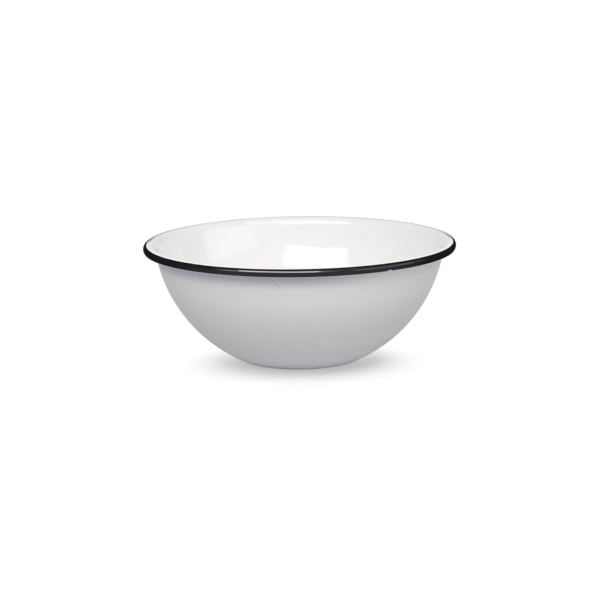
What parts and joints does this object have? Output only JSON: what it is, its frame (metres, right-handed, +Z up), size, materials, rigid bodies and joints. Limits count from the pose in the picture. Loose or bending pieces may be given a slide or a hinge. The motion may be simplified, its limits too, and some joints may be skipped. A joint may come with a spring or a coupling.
{
  "type": "enamel bowl",
  "caption": "Round pressed-steel basin bowl with a deep curved wall, flat foot and outward-rolled rim, enamelled white inside, grey-white outside and black round the rim.",
  "frame": {"origin": "centre of the foot, on the surface that the bowl stands on", "axes": "+Z up along the bowl's axis, X and Y across the mouth"},
  "size_m": [0.24, 0.24, 0.091],
  "materials": {
    "sheet_steel": "bare pickled sheet steel, hidden under the enamel",
    "base_enamel": "dark blue-black base enamel, fused glass",
    "white_enamel": "glossy warm white enamel",
    "outer_enamel": "glossy thin grey-white enamel with a few dark pinholes",
    "black_enamel": "glossy black enamel edging over the white"
  },
  "bodies": {
    "root": {"steel_shell": "sheet_steel", "base_enamel_inside": "base_enamel", "base_enamel_outside": "base_enamel", "white_lining": "white_enamel", "outer_enamel": "outer_enamel", "rim_band": "black_enamel"}
  },
  "joints": []
}
